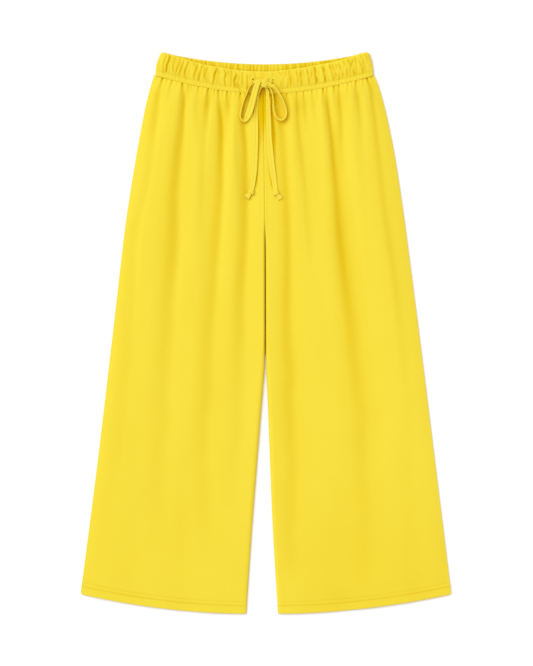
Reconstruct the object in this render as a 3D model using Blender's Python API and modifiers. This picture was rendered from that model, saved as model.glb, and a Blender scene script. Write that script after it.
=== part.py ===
"""Wide-leg pyjama trousers with an elastic, drawstring waist, laid flat and face up.

Metres, +Z up. The underside lies on z = 0, the waist points to +Y, and the wearer's right leg is at -X.
Each cut piece of cloth is a wall lofted between its seam lines, with the largest folds and pleats in it,
and the flat drawstring is tied in a bow over the front of the waistband.
"""

import math

import bmesh
import bpy
from mathutils import Vector

MM = 0.001

# ---- driving dimensions -------------------------------------------------------------------------------------
SEAM_GAP = 0.3 * MM             # clearance between two pieces that are sewn together or lie on each other
CLOTH = 1.2 * MM                # wall of the leg cloth
CASING = 2.6 * MM               # wall of the casing: two layers of cloth and the elastic between them
CORD_WIDTH = 9.5 * MM           # the flat drawstring
CORD_THICK = 2.2 * MM

WAIST_CENTRE_X = -1.5 * MM      # where the centre seams meet the waistband
FRONT_SEAM_Y = 418.4 * MM       # seam of front legs and waistband, at the centre
FRONT_SEAM_RISE = 32.4 * MM     # how much higher that seam is at the sides
BACK_SEAM_Y = 433.0 * MM
BACK_SEAM_RISE = 18.4 * MM
SEAM_HALF_WIDTH = 191.0 * MM
SEAM_POWER = 1.8

FRONT_TOP_Y = 456.4 * MM        # upper edge of the front casing, at the centre
FRONT_TOP_RISE = 32.5 * MM
BACK_TOP_Y = 471.0 * MM         # upper edge of the back casing, at the centre
BACK_TOP_RISE = 20.4 * MM
TOP_HALF_WIDTH = 180.0 * MM
TOP_POWER = 2.0
BAND_HALF_LOW = 191.5 * MM      # half width of the casing at its seam and at its upper edge
BAND_HALF_HIGH = 183.0 * MM
BAND_SIDE_POWER = 2.4           # how the casing's ends curve in towards the upper edge
BAND_CORNER = 5.0 * MM          # radius of its upper corners
BAND_CENTRE_X = -1.5 * MM

CROTCH_Y = 175.0 * MM
HEM_CORNER_Y = -457.0 * MM      # lower end of the side seams
HEM_DROP = 34.0 * MM            # how much lower the hem is at the inseams
HEM_POWER = 1.9

EYELET_X = {"r": -23.2 * MM, "l": 13.6 * MM}
EYELET_Y = 442.9 * MM
EYELET = Vector((2.4, 12.0, 1.6)) * MM      # width, height and depth of a drawstring buttonhole

FRONT_LIFT = CLOTH + SEAM_GAP   # a front panel lies on the back panel
SEAM_LIFT = 2.4 * MM            # and is drawn up to the front casing at the waist
SEAM_LIFT_REACH = 40.0 * MM
CREASE_RISE = 0.5 * MM          # pleats in the underside of the back casing
FRONT_BAND_Z = CASING + CREASE_RISE + SEAM_GAP
SIDE_ROLL = 26.0 * MM           # how far in from an edge the front cloth rounds down to the back cloth

# ---- grids ----------------------------------------------------------------------------------------------------
FRONT_GRID = (24, 18)           # columns from the side seam in, rows from the hem up
BACK_GRID = (18, 14)
ROW_BUNCHING = 1.6              # rows are closer together at the waist
BAND_ROWS = (0.0, 0.12, 0.24, 0.4, 0.75, 0.92, 1.0)

# ---- sections of the legs, from the waist seam to the hem (mm) --------------------------------------------------
SIDE_SEAM = (
    # y, side_r, side_l
    (451.0, -195.6, 189.6),
    (440.0, -199.2, 194.6),
    (425.0, -203.6, 199.6),
    (390.0, -212.0, 209.0),
    (320.0, -225.1, 223.6),
    (250.0, -236.7, 234.8),
    (180.0, -247.0, 244.6),
    (-30.0, -271.4, 271.6),
    (-240.0, -296.4, 297.6),
    (-457.0, -324.4, 324.4),
)
INNER_EDGE = (
    # y, inner_r, inner_l: the centre seam down to the crotch, then the inseams
    (451.0, -4.6, -4.6),
    (411.0, -4.4, -4.4),
    (240.0, -1.9, -1.9),
    (175.0, -1.9, -1.6),
    (60.0, -2.3, -1.1),
    (-56.0, -2.8, -0.4),
    (-135.0, -8.7, 2.9),
    (-240.0, -16.7, 6.9),
    (-345.0, -24.9, 11.8),
    (-491.0, -34.7, 21.3),
)
PUFF = (
    # drop below the waist seam, height that the front cloth stands proud of the back cloth
    (0.0, 1.3),
    (12.0, 1.3),
    (45.0, 5.2),
    (140.0, 4.6),
    (400.0, 3.0),
    (700.0, 2.0),
    (940.0, 1.5),
)

# ---- largest folds (mm): troughs in the front panels, raised furrows under the back panels -----------------------
FRONT_FOLDS = (
    # start_y, start_x, mid_x, end_y, end_x, depth (share of the puff), half_width
    (446.0, -190.5, -245.6, -430.0, -300.7, 0.45, 15.0),
    (440.0, -143.2, -171.6, -362.0, -195.7, 0.95, 15.0),
    (432.0, -101.2, -112.8, 180.0, -116.0, 0.60, 13.0),
    (430.0, -83.7, -98.6, -362.0, -103.0, 0.60, 14.0),
    (428.0, -43.5, -43.5, -240.0, -57.5, 0.90, 15.0),
    (428.0, 52.8, 66.8, 90.0, 78.0, 0.60, 13.0),
    (300.0, 20.0, 38.0, -440.0, 38.8, 0.45, 15.0),
    (434.0, 103.5, 147.3, -430.0, 170.0, 0.95, 15.0),
    (444.0, 184.0, 213.8, -100.0, 243.0, 0.50, 13.0),
)
BACK_FOLDS = (
    # start_y, start_x, mid_x, end_y, end_x, height, half_width
    (440.0, -150.0, -176.0, -300.0, -208.0, 1.6, 18.0),
    (440.0, -104.0, -118.0, -60.0, -132.0, 1.2, 17.0),
    (440.0, -52.0, -64.0, -380.0, -74.0, 1.5, 18.0),
    (440.0, 44.0, 58.0, -330.0, 70.0, 1.5, 18.0),
    (440.0, 96.0, 112.0, 0.0, 124.0, 1.2, 17.0),
    (440.0, 146.0, 170.0, -340.0, 202.0, 1.6, 18.0),
)
FOLD_SPREAD = 1.9               # a fold is this much wider where it fades out

# ---- creases of the casing (mm), from the wearer's right to the left ---------------------------------------------
BAND_CREASES = (
    # x at the seam, x at the upper edge, depth
    (-175.3, -166.9, 1.1),
    (-164.0, -155.0, 1.2),
    (-147.6, -139.7, 0.8),
    (-133.0, -125.0, 0.9),
    (-117.0, -110.0, 0.8),
    (-104.0, -99.0, 0.7),
    (-91.1, -89.9, 1.0),
    (-76.0, -73.0, 0.7),
    (-56.3, -50.5, 1.1),
    (-36.0, -34.0, 0.8),
    (-12.0, -12.0, 0.5),
    (2.0, 2.0, 0.5),
    (25.0, 22.5, 0.7),
    (43.0, 37.0, 0.9),
    (60.1, 54.5, 1.0),
    (74.1, 65.0, 0.8),
    (86.7, 79.0, 0.8),
    (102.3, 91.3, 1.0),
    (114.7, 103.5, 0.7),
    (130.5, 117.5, 1.0),
    (142.9, 128.0, 0.8),
    (155.3, 140.3, 0.9),
    (170.0, 158.0, 1.1),
)
BAND_PUFF = 1.3                 # crests of the front casing stand this much proud, mm
PUFF_ALONG_BAND = (0.0, 0.0, 0.35, 1.0, 1.0, 0.6, 0.15)     # share of that at each row of BAND_ROWS

# ---- route of the drawstring (mm): points chosen along each stretch ---------------------------------------------
# x, y, z of the cord's centre line, roll in degrees (0 lies flat, 90 stands on edge), share of the full width
LEAD_ROUTE = {
    "r": (
        (-23.3, 442.2, 7.9, 0, 0.62),
        (-21.4, 442.0, 9.6, 0, 0.62),
        (-16.5, 441.4, 11.4, 0, 0.66),
        (-9.6, 440.2, 12.2, 0, 0.70),
    ),
    "l": (
        (13.7, 441.4, 7.9, 0, 0.62),
        (11.9, 441.2, 9.6, 0, 0.62),
        (8.0, 440.6, 11.4, 0, 0.66),
        (2.8, 439.8, 12.2, 0, 0.70),
    ),
}
LOOP_ROUTE = {
    "r": (
        (-10.8, 440.6, 16.0, 0, 0.72),
        (-14.2, 436.4, 15.9, 0, 0.90),
        (-17.2, 428.4, 15.6, 0, 1.0),
        (-20.2, 416.7, 15.2, 0, 1.0),
        (-24.2, 402.7, 14.4, 5, 1.0),
        (-29.0, 388.7, 13.3, 22, 1.0),
        (-33.9, 378.2, 12.4, 48, 1.0),
        (-38.8, 373.2, 11.8, 72, 1.0),
        (-43.0, 374.6, 11.6, 84, 1.0),
        (-44.9, 381.2, 11.6, 84, 1.0),
        (-43.2, 392.2, 11.8, 78, 1.0),
        (-39.4, 405.3, 12.0, 68, 0.95),
        (-33.9, 418.4, 11.8, 55, 0.85),
        (-27.0, 427.6, 11.0, 30, 0.75),
        (-18.6, 431.6, 10.2, 5, 0.65),
        (-10.2, 432.6, 10.4, 0, 0.60),
    ),
    "l": (
        (3.4, 431.2, 10.8, -15, 0.55),
        (8.6, 426.6, 11.0, -40, 0.75),
        (12.4, 418.4, 11.6, -60, 0.95),
        (14.6, 407.9, 11.7, -66, 1.0),
        (16.2, 395.7, 11.7, -66, 1.0),
        (18.0, 385.2, 11.8, -64, 1.0),
        (21.8, 376.8, 12.1, -68, 1.0),
        (27.4, 373.1, 12.6, -78, 1.0),
        (32.8, 375.9, 13.0, -84, 1.0),
        (35.6, 383.1, 13.2, -78, 1.0),
        (34.4, 393.9, 13.2, -68, 1.0),
        (29.8, 406.2, 13.6, -56, 1.0),
        (24.0, 416.7, 14.2, -48, 0.95),
        (17.8, 425.6, 14.8, -34, 0.85),
        (11.2, 431.6, 15.1, -12, 0.75),
        (3.0, 434.6, 15.0, 0, 0.68),
    ),
}
TAIL_ROUTE = {
    "r": (
        (-6.6, 428.6, 9.6, 0, 0.60),
        (-11.6, 417.4, 8.3, 0, 0.70),
        (-15.2, 404.4, 7.7, 0, 0.75),
        (-16.9, 386.9, 8.4, 0, 0.80),
        (-17.2, 364.2, 9.6, 0, 0.85),
        (-17.9, 337.9, 9.75, 0, 0.95),
        (-18.8, 311.7, 9.4, 0, 1.0),
        (-20.0, 285.4, 9.1, 0, 1.0),
        (-22.3, 266.0, 8.9, 0, 0.95),
        (-24.3, 252.4, 9.3, 0, 0.80),
    ),
    "l": (
        (-0.2, 428.4, 9.6, 0, 0.60),
        (2.9, 417.4, 8.3, 0, 0.75),
        (4.7, 404.4, 7.7, 0, 0.90),
        (5.6, 386.9, 8.5, 0, 0.95),
        (6.0, 364.2, 9.7, 0, 0.95),
        (6.5, 343.0, 9.75, 0, 0.95),
        (8.4, 320.4, 9.5, 0, 1.0),
        (10.4, 299.4, 9.2, 0, 1.0),
        (13.3, 276.7, 8.8, 0, 1.0),
        (15.9, 260.0, 8.3, 0, 0.90),
        (17.1, 250.2, 8.5, 0, 0.80),
    ),
}
LOOP_STEPS = 2                  # points laid between two points of a route
TAIL_STEPS = 1
LEAD_STEPS = 1

BOW_KNOT = {"at": Vector((-3.4, 436.4, 12.3)) * MM, "cage": Vector((14.8, 18.4, 11.4)) * MM}
TIP_KNOT_SIZE = Vector((11.5, 9.0, 7.4)) * MM
TIP_FLARE = {"length": 13.0 * MM, "neck": 5.4 * MM, "mouth": 11.0 * MM, "thick": 2.4 * MM}
TIP_DIP = 1.8 * MM              # the flared tip droops to the cloth
TIP_KNOT = {
    # centre of the knot (mm) and the way its tip points, in degrees from +X
    "r": {"at": Vector((-25.6, 247.4, 10.6)) * MM, "tip_angle": 231.0},
    "l": {"at": Vector((17.9, 245.2, 9.8)) * MM, "tip_angle": 307.0},
}

# ---- colours (linear) -------------------------------------------------------------------------------------------
YELLOW = (0.915, 0.695, 0.055, 1.0)
YELLOW_CORD = (0.930, 0.730, 0.065, 1.0)

SIDES = ("r", "l")


# ---- curves and tables --------------------------------------------------------------------------------------------
def mix(a, b, share):
    return a + (b - a) * share


def ramp(value):
    """0 below 0, 1 above 1, and a smooth step between."""
    t = min(max(value, 0.0), 1.0)
    return t * t * (3.0 - 2.0 * t)


def hump(offset):
    """1 at 0, falling smoothly to 0 at an offset of 1."""
    return (1.0 - offset * offset) ** 2 if abs(offset) < 1.0 else 0.0


def read(table, at, column):
    """A smooth reading, in metres, of one column of a table in mm whose first column runs one way."""
    rows = table if table[0][0] < table[-1][0] else table[::-1]
    where = min(max(at / MM, rows[0][0]), rows[-1][0])
    i = next(k for k in range(len(rows) - 1) if where <= rows[k + 1][0])
    before, a, b, after = (rows[min(max(i + k, 0), len(rows) - 1)] for k in (-1, 0, 1, 2))
    span = b[0] - a[0]
    t = (where - a[0]) / span
    slope_a = (b[column] - before[column]) / (b[0] - before[0]) * span
    slope_b = (after[column] - a[column]) / (after[0] - a[0]) * span
    value = (
        (2 * t**3 - 3 * t**2 + 1) * a[column]
        + (t**3 - 2 * t**2 + t) * slope_a
        + (-2 * t**3 + 3 * t**2) * b[column]
        + (t**3 - t**2) * slope_b
    )
    return value * MM


def smooth_route(rows, steps):
    """Rows of numbers with more laid between them on a smooth curve."""
    out = []
    for i in range(len(rows) - 1):
        before, a, b, after = (rows[min(max(i + k, 0), len(rows) - 1)] for k in (-1, 0, 1, 2))
        for step in range(steps + 1):
            t = step / (steps + 1)
            out.append(tuple(
                0.5 * (2 * q + (r - p) * t + (2 * p - 5 * q + 4 * r - s) * t**2 + (3 * q - p - 3 * r + s) * t**3)
                for p, q, r, s in zip(before, a, b, after)
            ))
    out.append(tuple(rows[-1]))
    return out


def arch(x, centre_y, rise, centre_x, half_width, power):
    """Height of a seam or edge that curves up from the centre to the sides."""
    return centre_y + rise * abs((x - centre_x) / half_width) ** power


def front_seam(x):
    return arch(x, FRONT_SEAM_Y, FRONT_SEAM_RISE, WAIST_CENTRE_X, SEAM_HALF_WIDTH, SEAM_POWER)


def back_seam(x):
    return arch(x, BACK_SEAM_Y, BACK_SEAM_RISE, WAIST_CENTRE_X, SEAM_HALF_WIDTH, SEAM_POWER)


def front_top(x):
    return arch(x, FRONT_TOP_Y, FRONT_TOP_RISE, BAND_CENTRE_X, TOP_HALF_WIDTH, TOP_POWER)


def back_top(x):
    return arch(x, BACK_TOP_Y, BACK_TOP_RISE, BAND_CENTRE_X, TOP_HALF_WIDTH, TOP_POWER)


# ---- the form of the legs -------------------------------------------------------------------------------------------
def outer_x(side, y):
    return read(SIDE_SEAM, y, 1 if side == "r" else 2)


def inner_x(side, y):
    """Edge of a leg on its centre seam or inseam, clear of the other leg by the seam gap."""
    half_gap = SEAM_GAP / 2
    edge = read(INNER_EDGE, y, 1 if side == "r" else 2)
    return edge - half_gap if side == "r" else edge + half_gap


def leg_place(side, seam, inward, up):
    """Where a leg panel has a point: inward runs from side seam to inner edge, up from hem to waist."""
    top_outer_x, top_inner_x = outer_x(side, seam(SIDE_SEAM[0][1] * MM)), inner_x(side, FRONT_SEAM_Y)
    top_outer_y, top_inner_y = seam(top_outer_x) - SEAM_GAP, seam(top_inner_x) - SEAM_GAP
    hem_inner_y = HEM_CORNER_Y - HEM_DROP
    outer_y = mix(HEM_CORNER_Y, top_outer_y, up)
    inner_y = mix(hem_inner_y, top_inner_y, up)
    seam_sag = seam(mix(top_outer_x, top_inner_x, inward)) - SEAM_GAP - mix(top_outer_y, top_inner_y, inward)
    hem_sag = HEM_CORNER_Y - HEM_DROP * (1 - (1 - inward) ** HEM_POWER) - mix(HEM_CORNER_Y, hem_inner_y, inward)
    x = mix(outer_x(side, outer_y), inner_x(side, inner_y), inward)
    y = mix(outer_y, inner_y, inward) + seam_sag * up + hem_sag * (1 - up)
    return x, y


def fold_sum(folds, x, y):
    """How much the folds of a table add up to at a point: each follows a curve through three points."""
    total = 0.0
    for start_y, start_x, mid_x, end_y, end_x, strength, half_width in folds:
        t = (start_y - y / MM) / (start_y - end_y)
        if t > 1.0:
            continue
        held = max(t, 0.0)
        path = start_x * (1 - held) * (1 - 2 * held) + mid_x * 4 * held * (1 - held) + end_x * held * (2 * held - 1)
        width = half_width * mix(1.0, FOLD_SPREAD, held)
        total += strength * (1 - ramp(held)) * hump((x / MM - path) / width)
    return total


def back_underside(side, x, y):
    """Height of the lower face of a back panel: flat on the ground but for a few furrows."""
    from_edge = min(abs(x - outer_x(side, y)), abs(x - inner_x(side, y)))
    return fold_sum(BACK_FOLDS, x, y) * MM * ramp(from_edge / SIDE_ROLL)


def front_underside(side, x, y):
    """Height of the lower face of a front panel, which puffs up between its folds."""
    drop = front_seam(x) - y
    from_side = ramp(abs(x - outer_x(side, y)) / SIDE_ROLL)
    rise_share = ramp((y - CROTCH_Y) / (2 * SIDE_ROLL))
    from_inner = mix(ramp(abs(x - inner_x(side, y)) / SIDE_ROLL), 1.0, rise_share)
    roll = from_side * from_inner
    folds = min(fold_sum(FRONT_FOLDS, x, y), 1.0)
    puff = read(PUFF, drop, 1) * roll * (1 - folds)
    drawn_up = SEAM_LIFT * (1 - ramp(drop / SEAM_LIFT_REACH)) * from_side
    return FRONT_LIFT + back_underside(side, x, y) + puff + drawn_up


# ---- building ---------------------------------------------------------------------------------------------------------
def new_collection(name):
    collection = bpy.data.collections.new(name)
    bpy.context.scene.collection.children.link(collection)
    return collection


def new_material(name, colour, roughness):
    material = bpy.data.materials.new(name)
    material.use_nodes = True
    shader = material.node_tree.nodes["Principled BSDF"]
    shader.inputs["Base Color"].default_value = colour
    shader.inputs["Roughness"].default_value = roughness
    shader.inputs["Metallic"].default_value = 0.0
    material.diffuse_color = colour
    return material


def new_object(name, data, collection, colour=YELLOW, roughness=0.85):
    obj = bpy.data.objects.new(name, data)
    collection.objects.link(obj)
    obj.data.materials.append(new_material(name + "_finish", colour, roughness))
    return obj


def grid_mesh(name, columns, rows, place):
    """A mesh grid with place(column, row) giving each vertex."""
    bm = bmesh.new()
    bmesh.ops.create_grid(bm, x_segments=columns, y_segments=rows, size=0.5)
    for vertex in bm.verts:
        column = round((vertex.co.x + 0.5) * columns)
        row = round((vertex.co.y + 0.5) * rows)
        vertex.co = place(column, row)
    mesh = bpy.data.meshes.new(name)
    bm.to_mesh(mesh)
    bm.free()
    return mesh


def thicken(obj, thickness):
    """Gives an open sheet its wall, upwards from the sheet."""
    wall = obj.modifiers.new("wall", "SOLIDIFY")
    wall.thickness = thickness
    wall.offset = 1.0
    wall.use_even_offset = True
    return obj


def leg_panel(name, side, seam, underside, grid, collection):
    columns, rows = grid

    def place(column, row):
        across = column / columns
        inward = across if side == "r" else 1 - across
        up = 1 - (1 - row / rows) ** ROW_BUNCHING
        x, y = leg_place(side, seam, inward, up)
        return x, y, underside(side, x, y)

    obj = new_object(name, grid_mesh(name, columns, rows, place), collection)
    return thicken(obj, CLOTH)


def band_columns():
    """The casing's columns, an end, a crest and a crease in turn: x at the seam, x at the top, depth."""
    ends = ((-BAND_HALF_LOW, -BAND_HALF_HIGH), (BAND_HALF_LOW, BAND_HALF_HIGH))
    creases = [(low * MM, high * MM, depth) for low, high, depth in BAND_CREASES]
    first, last = ((BAND_CENTRE_X + low, BAND_CENTRE_X + high, 0.0) for low, high in ends)
    columns = [first, (first[0] + BAND_CORNER / 2, first[1] + BAND_CORNER / 2, 0.0)]
    columns.append((first[0] + BAND_CORNER, first[1] + BAND_CORNER, 0.0))
    for crease, following in zip(creases, creases[1:]):
        columns.append(crease)
        columns.append((mix(crease[0], following[0], 0.5), mix(crease[1], following[1], 0.5), 0.0))
    columns.append(creases[-1])
    columns.append((last[0] - BAND_CORNER, last[1] - BAND_CORNER, 0.0))
    columns.append((last[0] - BAND_CORNER / 2, last[1] - BAND_CORNER / 2, 0.0))
    columns.append(last)
    return columns


def corner_drop(from_end):
    """How far a rounded upper corner lies below the straight one."""
    inside = max(BAND_CORNER - from_end, 0.0)
    return BAND_CORNER - math.sqrt(BAND_CORNER**2 - inside**2)


def band_panel(name, seam, top, base_z, puff, crease, collection):
    """Half of the casing: crests stand puff proud of base_z, and creases rise or fall by their own depth."""
    columns = band_columns()

    def place(column, row):
        low_x, high_x, depth = columns[column]
        share = BAND_ROWS[row]
        x = mix(low_x, high_x, share**BAND_SIDE_POWER if column in (0, len(columns) - 1) else share)
        from_end = min(abs(high_x - columns[0][1]), abs(high_x - columns[-1][1]))
        high_y = top(high_x) - corner_drop(from_end)
        y = mix(seam(low_x), high_y, share)
        full = PUFF_ALONG_BAND[row]
        return x, y, base_z + (puff * (depth == 0.0) + crease * depth) * MM * full

    obj = new_object(name, grid_mesh(name, len(columns) - 1, len(BAND_ROWS) - 1, place), collection)
    return thicken(obj, CASING)


def box_cutter(name, centre, size, collection):
    bm = bmesh.new()
    bmesh.ops.create_cube(bm, size=1.0)
    bmesh.ops.scale(bm, vec=size, verts=bm.verts)
    mesh = bpy.data.meshes.new(name)
    bm.to_mesh(mesh)
    bm.free()
    cutter = bpy.data.objects.new(name, mesh)
    cutter.location = centre
    cutter.hide_render = True
    cutter.display_type = "WIRE"
    collection.objects.link(cutter)
    return cutter


def combine(obj, other, operation):
    step = obj.modifiers.new(operation.lower(), "BOOLEAN")
    step.operation = operation
    step.object = other
    step.solver = "EXACT"


def cord_profile(collection):
    """Cross-section of the flat cord: a long shape with blunt, rounded ends."""
    curve = bpy.data.curves.new("cord_profile", "CURVE")
    curve.dimensions = "2D"
    spline = curve.splines.new("POLY")
    half, thick = CORD_WIDTH / 2, CORD_THICK / 2
    corners = ((half, thick * 0.45), (half * 0.84, thick), (-half * 0.84, thick), (-half, thick * 0.45))
    outline = (corners + tuple((-x, -y) for x, y in corners))[::-1]
    spline.points.add(len(outline) - 1)
    for point, (x, y) in zip(spline.points, outline):
        point.co = (x, y, 0.0, 1.0)
    spline.use_cyclic_u = True
    obj = bpy.data.objects.new("cord_profile", curve)
    obj.hide_render = True
    obj.display_type = "WIRE"
    collection.objects.link(obj)
    return obj


def cord_stretch(name, route, steps, profile, collection):
    """One stretch of the flat cord along its route."""
    curve = bpy.data.curves.new(name, "CURVE")
    curve.dimensions = "3D"
    curve.twist_mode = "Z_UP"
    curve.bevel_mode = "OBJECT"
    curve.bevel_object = profile
    curve.use_fill_caps = True
    points = smooth_route(route, steps)
    spline = curve.splines.new("POLY")
    spline.points.add(len(points) - 1)
    for point, (x, y, z, roll, share) in zip(spline.points, points):
        point.co = (x * MM, y * MM, z * MM, 1.0)
        point.tilt = math.radians(roll)
        point.radius = share
    return new_object(name, curve, collection, YELLOW_CORD, 0.8)


def soft_lump(name, centre, size, collection):
    """A rounded lump from a cube cage."""
    bm = bmesh.new()
    bmesh.ops.create_cube(bm, size=1.0)
    bmesh.ops.scale(bm, vec=size, verts=bm.verts)
    mesh = bpy.data.meshes.new(name)
    bm.to_mesh(mesh)
    bm.free()
    obj = new_object(name, mesh, collection, YELLOW_CORD, 0.8)
    obj.location = centre
    rounding = obj.modifiers.new("rounding", "SUBSURF")
    rounding.levels = 2
    rounding.render_levels = 2
    return obj


def tip_knot(name, centre, tip_angle, collection, guides):
    """The knot at a free end of the cord, with the flared tip below it."""
    bm = bmesh.new()
    bmesh.ops.create_uvsphere(bm, u_segments=16, v_segments=10, radius=0.5)
    bmesh.ops.scale(bm, vec=TIP_KNOT_SIZE, verts=bm.verts)
    mesh = bpy.data.meshes.new(name)
    bm.to_mesh(mesh)
    bm.free()
    knot = new_object(name, mesh, collection, YELLOW_CORD, 0.8)
    knot.location = centre
    knot.data.shade_smooth()

    way = math.radians(tip_angle)
    flare = box_cutter(name + "_flare", centre, Vector((1.0, 1.0, 1.0)) * MM, guides)
    for vertex in flare.data.vertices:
        outer = vertex.co.x > 0
        width = TIP_FLARE["mouth"] if outer else TIP_FLARE["neck"]
        x = TIP_FLARE["length"] if outer else 0.0
        y = math.copysign(width / 2, vertex.co.y)
        z = math.copysign(TIP_FLARE["thick"] / 2, vertex.co.z) - (TIP_DIP if outer else 0.0)
        vertex.co = (x, y, z)
    flare.rotation_euler = (0.0, 0.0, way)
    combine(knot, flare, "UNION")
    return knot


# ---- the trousers -------------------------------------------------------------------------------------------------------
for old in list(bpy.data.objects):
    bpy.data.objects.remove(old, do_unlink=True)

trousers = new_collection("pyjama_trousers")
guides = new_collection("guides")

for side in SIDES:
    leg_panel("leg_back_" + side, side, back_seam, back_underside, BACK_GRID, trousers)
    leg_panel("leg_front_" + side, side, front_seam, front_underside, FRONT_GRID, trousers)

band_panel("waistband_back", back_seam, back_top, 0.0, 0.0, CREASE_RISE / MM, trousers)
front_band = band_panel("waistband_front", front_seam, front_top, FRONT_BAND_Z, BAND_PUFF, 0.0, trousers)
for side in SIDES:
    surface = FRONT_BAND_Z + CASING + BAND_PUFF * MM
    hole_at = Vector((EYELET_X[side], EYELET_Y, surface))
    hole_size = Vector((EYELET.x, EYELET.y, 2 * EYELET.z))
    combine(front_band, box_cutter("eyelet_" + side, hole_at, hole_size, guides), "DIFFERENCE")

profile = cord_profile(guides)
for side in SIDES:
    cord_stretch("cord_lead_" + side, LEAD_ROUTE[side], LEAD_STEPS, profile, trousers)
    cord_stretch("cord_loop_" + side, LOOP_ROUTE[side], LOOP_STEPS, profile, trousers)
    cord_stretch("cord_tail_" + side, TAIL_ROUTE[side], TAIL_STEPS, profile, trousers)
    tip_knot("tip_knot_" + side, TIP_KNOT[side]["at"], TIP_KNOT[side]["tip_angle"], trousers, guides)
soft_lump("bow_knot", BOW_KNOT["at"], BOW_KNOT["cage"], trousers)
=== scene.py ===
import math

import bpy
import numpy as np
from mathutils import Matrix, Vector


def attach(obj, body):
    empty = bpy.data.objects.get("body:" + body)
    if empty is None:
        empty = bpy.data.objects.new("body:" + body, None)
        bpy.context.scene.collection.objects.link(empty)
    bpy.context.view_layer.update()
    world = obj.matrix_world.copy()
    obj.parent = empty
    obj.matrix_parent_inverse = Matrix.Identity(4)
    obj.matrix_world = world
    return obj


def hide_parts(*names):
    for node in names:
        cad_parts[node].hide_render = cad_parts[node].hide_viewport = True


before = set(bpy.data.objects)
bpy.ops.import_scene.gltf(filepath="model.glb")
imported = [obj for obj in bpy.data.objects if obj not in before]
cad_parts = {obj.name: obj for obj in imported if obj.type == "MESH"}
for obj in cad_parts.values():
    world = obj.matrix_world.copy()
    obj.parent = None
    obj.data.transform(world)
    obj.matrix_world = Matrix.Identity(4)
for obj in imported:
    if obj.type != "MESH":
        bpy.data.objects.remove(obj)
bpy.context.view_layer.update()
mm = 0.001
print("frame loaded")


view = {
    "centre": (1.1 * mm, 0.2 * mm),  # the point of the floor in the middle of the picture
    "distance": 6,
    "seenHeight": 1.1655,  # how much of the floor the picture's height takes in
    "sensor": 36,
}
studio = {
    "ambient": 0.68,  # share of the light that comes from all round
    "ambientColour": (1.1, 0.965, 0.66),
    "key": 0.44,  # and from the upper left
    "keyColour": (0.845, 1.055, 1.52),
    "keyElevation": 54,
    "keyAzimuth": 140,
    "keySoftness": 50,
    "floorSize": 8,
    "floorWhite": 0.95,
}


def placeCamera():
    data = bpy.data.cameras.new("camera")
    data.type = "PERSP"
    data.sensor_width = view["sensor"]
    data.lens = view["sensor"] * view["distance"] / view["seenHeight"]
    data.clip_end = 50
    camera = bpy.data.objects.new("camera", data)
    camera.location = (*view["centre"], view["distance"] + 5 * mm)
    bpy.context.scene.collection.objects.link(camera)
    bpy.context.scene.camera = camera
    bpy.context.scene.view_settings.view_transform = "Standard"


def placeLights():
    world = bpy.data.worlds.new("studio")
    world.use_nodes = True
    background = world.node_tree.nodes["Background"]
    background.inputs["Color"].default_value = (*studio["ambientColour"], 1)
    background.inputs["Strength"].default_value = studio["ambient"]
    bpy.context.scene.world = world
    elevation, azimuth = math.radians(studio["keyElevation"]), math.radians(studio["keyAzimuth"])
    sun = bpy.data.lights.new("key", "SUN")
    sun.color = studio["keyColour"]
    sun.energy = studio["key"] * math.pi / math.sin(elevation)
    sun.angle = math.radians(studio["keySoftness"])
    key = bpy.data.objects.new("key", sun)
    towards = Vector((math.cos(elevation) * math.cos(azimuth), math.cos(elevation) * math.sin(azimuth),
                      math.sin(elevation)))
    key.rotation_euler = towards.to_track_quat("Z", "Y").to_euler()
    key.location = towards * 3
    bpy.context.scene.collection.objects.link(key)


placeCamera()
placeLights()
print("camera and lights placed")


class Wire:  # a shader value that can be used in sums
    def __init__(self, paint, socket):
        self.paint, self.socket = paint, socket

    def sum(self, operation, first, second):
        return self.paint.node("ShaderNodeMath", {"operation": operation}, {0: first, 1: second})

    def __add__(self, other):
        return self.sum("ADD", self, other)

    def __radd__(self, other):
        return self.sum("ADD", other, self)

    def __sub__(self, other):
        return self.sum("SUBTRACT", self, other)

    def __mul__(self, other):
        return self.sum("MULTIPLY", self, other)


class Paint:  # one material and its nodes
    def __init__(self, name):
        self.material = bpy.data.materials.new(name)
        self.material.use_nodes = True
        self.tree = self.material.node_tree
        self.tree.nodes.clear()

    def node(self, kind, settings=None, sockets=None, out=0):
        made = self.tree.nodes.new(kind)
        for key, value in (settings or {}).items():
            setattr(made, key, value)
        for key, value in (sockets or {}).items():
            if isinstance(value, Wire):
                self.tree.links.new(value.socket, made.inputs[key])
            else:
                made.inputs[key].default_value = value
        return Wire(self, made.outputs[out]) if made.outputs else made

    def blend(self, share, first, second):  # mixes two colours
        return self.node("ShaderNodeMix", {"data_type": "RGBA"}, {0: share, 6: first, 7: second}, out=2)

    def noise(self, place, scale, detail=2, rough=0.5):
        sockets = {"Vector": place, "Scale": scale, "Detail": detail, "Roughness": rough}
        return self.node("ShaderNodeTexNoise", {}, sockets)

    def sine(self, value):
        return self.node("ShaderNodeMath", {"operation": "SINE"}, {0: value})


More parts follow.
